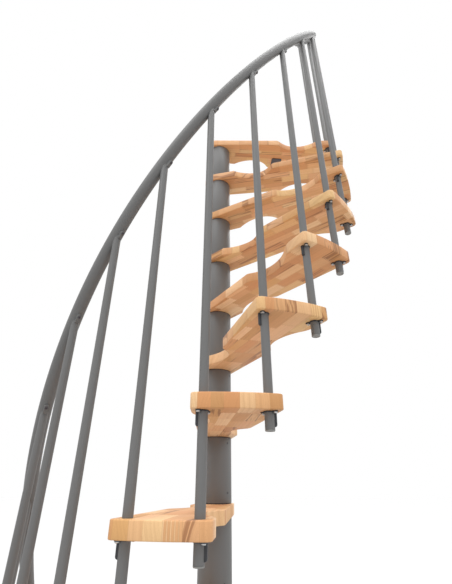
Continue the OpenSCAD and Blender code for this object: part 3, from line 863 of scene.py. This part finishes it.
def clamp_outline():
    """Plate round the baluster with a rounded lug for a screw on each side."""
    swell = math.sqrt(CLAMP_R ** 2 - CLAMP_LUG_R ** 2)
    meet_turn = math.degrees(math.atan2(CLAMP_LUG_R, swell))
    outer_lug = arc((CLAMP_SCREW_OFFSET, 0), CLAMP_LUG_R, -90, 90)
    rear = arc((0, 0), CLAMP_R, meet_turn, 180 - meet_turn)
    inner_lug = arc((-CLAMP_SCREW_OFFSET, 0), CLAMP_LUG_R, 90, 270)
    front = arc((0, 0), CLAMP_R, 180 + meet_turn, 360 - meet_turn)
    turn = math.radians(CLAMP_TURN)
    loop = outer_lug + rear + inner_lug + front
    return [Vector((p.x * math.cos(turn) - p.y * math.sin(turn),
                    p.x * math.sin(turn) + p.y * math.cos(turn))) for p in loop]


def clamps(front):
    """Moulded clamps: a screwed plate, and a tongue that grips the baluster from outside."""
    ease, hole_ease, side, tongue_round, round_levels = 0.6, 0.3, 1.6, 5, 6
    grip_r = BALUSTER_R + FIT
    tongue_y = BALUSTER_R + TONGUE_THICK
    bm = bmesh.new()
    grip = circle(grip_r, sides=BALUSTER_SIDES)
    eased_slab(bm, clamp_outline(), [grip], -CLAMP_THICK, 0, ease, hole_ease)

    # the tongue hugs the tube; its lower outer edge is rounded away over a few levels
    grip_turn = math.degrees(math.acos(TONGUE_HALF / grip_r))
    hug = arc((0, 0), grip_r, 180 - grip_turn, grip_turn)
    levels = [(0, -ease)]
    for k in range(round_levels + 1):
        turn = math.pi / 2 * k / round_levels
        levels.append((tongue_round * (1 - math.cos(turn)),
                       -TONGUE_LENGTH + tongue_round * (1 - math.sin(turn))))
    rings = []
    for back, height in levels:
        far = tongue_y - back
        outside = arc((TONGUE_HALF - side, far - side), side, 0, 90)
        outside += arc((side - TONGUE_HALF, far - side), side, 90, 180)
        rings.append((outside + hug, height))
    turned(bm, rings)
    name = "front_tread_clamps" if front else "rear_tread_clamps"
    row = climbing_clamps(name, bm, black_nylon, front)
    fitted(row, "black_nylon", "front_clamps" if front else "rear_clamps")


def clamp_screws(front):
    """The two pan-head screws of every clamp, on either side of the baluster."""
    bm = bmesh.new()
    for side in (-1, 1):
        joined(bm, socket_head, CLAMP_SCREW, turn_x(180),
               shift(side * CLAMP_SCREW_OFFSET, 0, -CLAMP_THICK), turn_z(CLAMP_TURN))
    name = "front_clamp_screws" if front else "rear_clamp_screws"
    fitted(climbing_clamps(name, bm, zinc, front), "zinc_plated_steel")


# ---------------------------------------------------------------- handrail tabs
def on_rail():
    """Places things on the handrail's axis over a baluster, with +X uphill along the rail."""
    return turn_z(90) @ turn_y(-RAIL_SLOPE)


def rail_tabs():
    """Tongue on the uphill side of each baluster's head, screwed to the rail from below."""
    start, into_rail, ease = -18, 2, 0.8
    end = TAB_REACH - TAB_HALF
    outline = arc((end, 0), TAB_HALF, -90, 90) + [Vector((start, TAB_HALF)), Vector((start, -TAB_HALF))]
    bm = bmesh.new()
    eased_slab(bm, outline, [], -RAIL_R - TAB_THICK, -RAIL_R + into_rail, ease)
    placed(bm, on_rail())
    tabs = climbing("rail_tabs", bm, grey_coat, TREADS + 1, BALUSTER_CIRCLE, baluster_angle(0),
                    rail_height_at(0))
    fitted(tabs, "grey_powder_coat", "rail_brackets")


def rail_screws():
    """Blackened pan-head screws under the rail tabs."""
    back = 2
    bm = bmesh.new()
    socket_head(bm, **TAB_SCREW)
    placed(bm, turn_x(180), shift(TAB_REACH - TAB_HALF - back, 0, -RAIL_R - TAB_THICK), on_rail())
    screws = climbing("rail_tab_screws", bm, dark_coat, TREADS + 1, BALUSTER_CIRCLE, baluster_angle(0),
                      rail_height_at(0))
    fitted(screws, "dark_steel")


# ---------------------------------------------------------------- pole
def spacer_tubes():
    """Spacer tubes of the pole; the lowest stands on the base plate and is shorter."""
    ease = 0.6
    bm = bmesh.new()
    length = RISE - TREAD_THICK - 2 * DISC_THICK
    lathe(bm, eased_tube(POLE_R, POLE_R - POLE_WALL, 0, length, ease), POLE_SIDES, closed=False)
    upper = climbing("spacer_tubes", bm, grey_coat, TREADS - 1, 0, 0, RISE + DISC_THICK)
    bm = bmesh.new()
    lathe(bm, eased_tube(POLE_R, POLE_R - POLE_WALL, BASE_THICK + DISC_THICK,
                         tread_under(1) - DISC_THICK, ease), POLE_SIDES, closed=False)
    lowest = made("lowest_spacer_tube", bm, grey_coat)
    fitted(upper, "grey_powder_coat", "pole_spacers")
    fitted(lowest, "grey_powder_coat")


def centring_discs():
    """Moulded discs between the spacer tubes and the boards, above and below every board.
    Their black is partly painted shade: it darkens the joint where each board meets the pole.
    """
    spigot, ease = 8, 0.4
    inner = TIE_R + FIT
    spigot_r = POLE_R - POLE_WALL - FIT
    flange = [(inner, 0), (DISC_R - ease, 0), (DISC_R, ease), (DISC_R, DISC_THICK - ease),
              (DISC_R - ease, DISC_THICK), (spigot_r, DISC_THICK), (spigot_r, DISC_THICK + spigot),
              (inner, DISC_THICK + spigot)]
    bm = bmesh.new()
    lathe(bm, flange, POLE_SIDES, closed=False)
    lowest = [(radius, height + BASE_THICK) for radius, height in flange]
    under = [(radius, -height) for radius, height in flange]
    below = bmesh.new()
    lathe(below, under, POLE_SIDES, closed=False)
    # the discs' black is partly painted shade, for the dark joints above and below each board
    over_boards = climbing("discs_over_boards", bm, black_nylon, TREADS - 1, 0, 0, RISE)
    under_boards = climbing("discs_under_boards", below, black_nylon, TREADS, 0, 0, tread_under(1))
    bm = bmesh.new()
    lathe(bm, lowest, POLE_SIDES, closed=False)
    base_disc = made("disc_on_base", bm, black_nylon)
    fitted(over_boards, "black_nylon", "centring_discs")
    fitted(under_boards, "black_nylon")
    fitted(base_disc, "black_nylon")


def spacer_set_screws():
    """Small dark grub screws that lock each spacer tube, near its upper and its lower end."""
    above_board, below_board, facing, sunk = 31, 20, 58, 0.3
    bm = bmesh.new()
    for height in (above_board, RISE - TREAD_THICK - below_board):
        joined(bm, socket_head, SET_SCREW, turn_y(90), shift(POLE_R - sunk, 0, height), turn_z(facing))
    screws = climbing("spacer_set_screws", bm, black_nylon, TREADS - 1, 0, tread_angle(1), RISE)
    fitted(screws, "black_nylon")


def base_flange():
    """Floor flange with six bolt holes and a welded stub that carries the lowest disc."""
    plate_top, weld, ease, sunk = BASE_THICK - DISC_THICK, 2, 1.2, 0.1
    holes = hole_ring(BASE_BOLT_CIRCLE, BASE_BOLT_TURNS, BASE_BOLT_HOLE, BOLT_HOLE_SIDES)
    bm = bmesh.new()
    eased_slab(bm, circle(BASE_R, sides=POLE_SIDES), holes, 0, plate_top, ease)
    lathe(bm, [(POLE_R + weld, plate_top - sunk), (POLE_R + weld / 3, plate_top + weld / 3),
               (POLE_R, plate_top + weld), (POLE_R, BASE_THICK)], POLE_SIDES)
    fitted(made("base_flange", bm, grey_coat), "grey_powder_coat", "base_plate")


def base_bolts():
    """Hexagon anchor bolts with washers on the base plate."""
    bm = bmesh.new()
    for turn in BASE_BOLT_TURNS:
        joined(bm, hex_bolt, BASE_BOLT, shift(BASE_BOLT_CIRCLE, 0, BASE_THICK - DISC_THICK),
               turn_z(turn))
    fitted(made("base_bolts", bm, zinc), "zinc_plated_steel")


def foot_screws():
    """Three screws in the lowest baluster's floor foot."""
    bm = bmesh.new()
    for turn in FOOT_HOLE_TURNS:
        joined(bm, socket_head, FOOT_SCREW, shift(FOOT_HOLE_CIRCLE, 0, FOOT_THICK), turn_z(turn),
               shift(BALUSTER_CIRCLE, 0, 0), turn_z(baluster_angle(0)))
    fitted(made("foot_screws", bm, zinc), "zinc_plated_steel")


def pole_head():
    """Washer plate on the highest tread and the domed nut that clamps the stack."""
    ease, bevel, nut_height, chamfer, tip_r = 0.6, 2, 18, 1.5, 0.5
    dome_r, dome_levels, sides = NUT_R - 5, 8, 48
    bm = bmesh.new()
    inner = TIE_R + FIT
    lathe(bm, [(inner, POLE_TOP), (POLE_R - ease, POLE_TOP), (POLE_R, POLE_TOP + ease),
               (POLE_R, POLE_TOP + CAP_THICK - bevel), (POLE_R - bevel, POLE_TOP + CAP_THICK),
               (inner, POLE_TOP + CAP_THICK)], POLE_SIDES, closed=False)
    fitted(made("pole_washer_plate", bm, grey_coat), "grey_powder_coat", "pole_cap")

    base = POLE_TOP + CAP_THICK
    dome_foot = base + nut_height
    chamfer_r = NUT_R * math.cos(math.pi / 6) * 1.03
    flats = hexagon(NUT_R, sides)
    chamfered = [p * min(1, chamfer_r / p.length) for p in flats]
    rings = [(chamfered, base), (flats, base + chamfer), (flats, dome_foot - chamfer),
             (chamfered, dome_foot), (circle(dome_r, sides=sides), dome_foot)]
    for k in range(1, dome_levels):
        turn = math.pi / 2 * (k / dome_levels)
        rings.append((circle(dome_r * math.cos(turn), sides=sides),
                      dome_foot + (NUT_TOP - dome_foot) * math.sin(turn)))
    rings.append((circle(tip_r, sides=sides), NUT_TOP))
    bm = bmesh.new()
    turned(bm, rings)
    fitted(made("domed_nut", bm, grey_coat), "grey_powder_coat", "pole_nut")


# ---------------------------------------------------------------- landing plate
def landing_bracket():
    """Bent angle under the highest tread whose upright leg bolts to the landing."""
    bend, ease, leg_round, shelf_round = 6, 0.8, 8, 6
    low, high = plate_low, plate_high
    middle = (low.x + high.x) / 2
    holes = [circle(LANDING_HOLE, (middle + side * LANDING_HOLE_SPACING / 2,
                                   high.z - LANDING_HOLE_DROP), BOLT_HOLE_SIDES) for side in (-1, 1)]

    def rounded(x0, y0, x1, y1, radius):
        """Rectangle with its far corners rounded."""
        return ([Vector((x0, y0)), Vector((x1, y0))] + arc((x1 - radius, y1 - radius), radius, 0, 90)
                + arc((x0 + radius, y1 - radius), radius, 90, 180))

    bm = bmesh.new()
    slab = {"bottom": 0, "top": LANDING_THICK, "ease": ease}
    leg = rounded(low.x, low.z + bend, high.x, high.z, leg_round)
    joined(bm, eased_slab, {"outline": leg, "holes": holes, **slab}, turn_x(90), shift(0, high.y, 0))
    shelf = rounded(low.x, bend - high.y, high.x, -low.y, shelf_round)
    joined(bm, eased_slab, {"outline": shelf, "holes": [], **slab}, mirror_y(), shift(0, 0, low.z))
    strip = (arc((high.y - bend, low.z + bend), bend, -90, 0)
             + arc((high.y - bend, low.z + bend), bend - LANDING_THICK, 0, -90))
    xyz_from_yzx = Matrix(((0, 0, 1, 0), (1, 0, 0, 0), (0, 1, 0, 0), (0, 0, 0, 1)))
    joined(bm, turned, {"rings": [(strip, low.x), (strip, high.x)]}, xyz_from_yzx)
    fitted(made("landing_bracket", bm, dark_coat), "dark_steel", "landing_plate")


# ---------------------------------------------------------------- camera, light and floor
LIGHT_AROUND = 0.67
LIGHT_OVERHEAD = 1.75


def camera():
    """Stands at eye height in front of the stair and looks up at its upper half."""
    eye_m = Vector((-0.0679, -1.3891, 1.4735))
    pitch, yaw, focal = 27.4, 4.23, 22.56
    data = bpy.data.cameras.new("camera")
    data.lens = focal
    data.clip_start = 0.01
    eye = bpy.data.objects.new("camera", data)
    eye.location = eye_m
    eye.rotation_euler = (math.radians(90 + pitch), 0, math.radians(-yaw))
    bpy.context.scene.collection.objects.link(eye)
    bpy.context.scene.camera = eye


def lamp(name, place_m, aim_m, size_m, power):
    """Square soft box that faces a point."""
    data = bpy.data.lights.new(name, "AREA")
    data.size = size_m
    data.energy = power
    box = bpy.data.objects.new(name, data)
    box.location = place_m
    box.rotation_euler = (Vector(aim_m) - Vector(place_m)).to_track_quat("-Z", "Y").to_euler()
    bpy.context.scene.collection.objects.link(box)


def white_studio():
    """White surroundings, brighter overhead, which show plain white to the eye and in gloss."""
    world = bpy.data.worlds.new("white_studio")
    world.use_nodes = True
    bpy.context.scene.world = world
    tree = world.node_tree
    direction = add(tree, "ShaderNodeTexCoord", output="Generated")
    up = add(tree, "ShaderNodeSeparateXYZ", direction, output="Z")
    light = add(tree, "ShaderNodeMapRange", up, named={"To Min": LIGHT_AROUND, "To Max": LIGHT_OVERHEAD})
    ray = add(tree, "ShaderNodeLightPath").node.outputs
    seen = add(tree, "ShaderNodeMath", ray["Is Camera Ray"], ray["Is Glossy Ray"], operation="MAXIMUM")
    shown = add(tree, "ShaderNodeMath", seen, ray["Is Transmission Ray"], operation="MAXIMUM")
    strength = add(tree, "ShaderNodeMapRange", shown, named={"To Min": light, "To Max": 1.0})
    background = tree.nodes["Background"]
    background.inputs["Color"].default_value = (1, 1, 1, 1)
    tree.links.new(strength, background.inputs["Strength"])


def pale_floor():
    """Wide pale floor that keeps the object's shadow. To the eye it is lifted by as much as it
    takes to be white in the open."""
    half_m, reflectance = 40, 0.5
    in_the_open = reflectance * (LIGHT_AROUND + (LIGHT_OVERHEAD - LIGHT_AROUND) * 2 / 3)
    bm = bmesh.new()
    bmesh.ops.create_grid(bm, x_segments=1, y_segments=1, size=half_m / MM)
    material, tree, shader = new_material("white_floor", Roughness=0.9, Specular_IOR_Level=0.0)
    shader.inputs["Base Color"].default_value = (reflectance, reflectance, reflectance, 1)
    ray = add(tree, "ShaderNodeLightPath").node.outputs
    lift = add(tree, "ShaderNodeMapRange", ray["Is Camera Ray"],
               named={"To Min": 0.0, "To Max": 1 - in_the_open})
    shader.inputs["Emission Color"].default_value = (1, 1, 1, 1)
    tree.links.new(lift, shader.inputs["Emission Strength"])
    floor = made("floor", bm, material)


# ---------------------------------------------------------------- the scene
camera()
white_studio()
lamp("key_light", place_m=(-3.0, -3.2, 8.2), aim_m=(0.1, -0.2, 2.4), size_m=4.0, power=120)
lamp("rear_light", place_m=(3.4, 3.0, 6.6), aim_m=(0.2, 0.0, 3.6), size_m=2.5, power=70)
lamp("top_light", place_m=(1.0, -0.5, 6.2), aim_m=(0.55, 0.1, 4.2), size_m=2.4, power=65)
pale_floor()

outline = paddle_outline()
for n in range(1, TREADS + 1):
    tread_board(n, outline)
for m in range(TREADS + 1):
    baluster_tube(m)
handrail()
baluster_plugs()
baluster_foot()
for front in (True, False):
    clamps(front)
    clamp_screws(front)
rail_tabs()
rail_screws()
spacer_tubes()
centring_discs()
spacer_set_screws()
base_flange()
base_bolts()
foot_screws()
pole_head()
landing_bracket()
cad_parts["tie_tube"].data.materials.clear()
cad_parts["tie_tube"].data.materials.append(grey_coat)

bpy.context.scene.view_settings.view_transform = "Standard"
